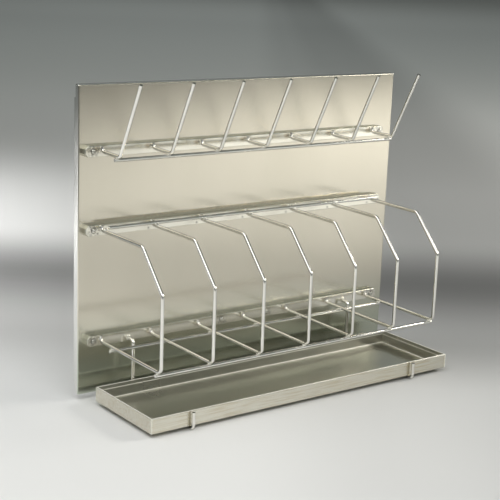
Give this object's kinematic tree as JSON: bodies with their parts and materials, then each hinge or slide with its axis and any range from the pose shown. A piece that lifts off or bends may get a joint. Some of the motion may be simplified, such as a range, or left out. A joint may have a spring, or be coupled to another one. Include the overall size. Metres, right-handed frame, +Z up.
{
  "type": "bedpan and urinal rack",
  "caption": "Stainless steel wall rack: upright wire slots for bedpans, sloping wire hooks above for urine bottles, and a removable drip tray carried on wire hangers underneath",
  "frame": {"origin": "on the floor under the middle of the rack's bounding box", "axes": "+X along the rack to the user's right, +Y towards the wall (the front faces -Y), +Z up"},
  "size_m": [0.7, 0.2382, 0.5603],
  "materials": {
    "brushed_sheet": "satin stainless sheet, vertical grain",
    "rail_steel": "satin stainless, grain along the rail",
    "polished_wire": "polished stainless round wire",
    "tray_sheet": "satin stainless sheet",
    "fixings": "bright stainless screws and nuts"
  },
  "bodies": {
    "rack": {"back_panel": "brushed_sheet", "top_rail": "rail_steel", "middle_rail": "rail_steel", "bottom_rail": "rail_steel", "rail_screws": "fixings", "rail_nuts": "fixings", "hook_rod": "polished_wire", "basket_top_rod": "polished_wire", "basket_rear_rod": "polished_wire", "basket_front_rod": "polished_wire", "tray_hanger_left": "polished_wire", "tray_hanger_right": "polished_wire", "urinal_hook_1": "polished_wire", "urinal_hook_2": "polished_wire", "urinal_hook_3": "polished_wire", "urinal_hook_4": "polished_wire", "urinal_hook_5": "polished_wire", "urinal_hook_6": "polished_wire", "urinal_hook_7": "polished_wire", "bedpan_divider_1": "polished_wire", "bedpan_divider_2": "polished_wire", "bedpan_divider_3": "polished_wire", "bedpan_divider_4": "polished_wire", "bedpan_divider_5": "polished_wire", "bedpan_divider_6": "polished_wire", "bedpan_divider_7": "polished_wire"},
    "tray": {"drip_tray": "tray_sheet"}
  },
  "joints": [
    {"name": "tray_slide", "type": "slide", "parent": "rack", "child": "tray", "axis": [1, 0, 0], "range_m": [0, 0.69]}
  ]
}
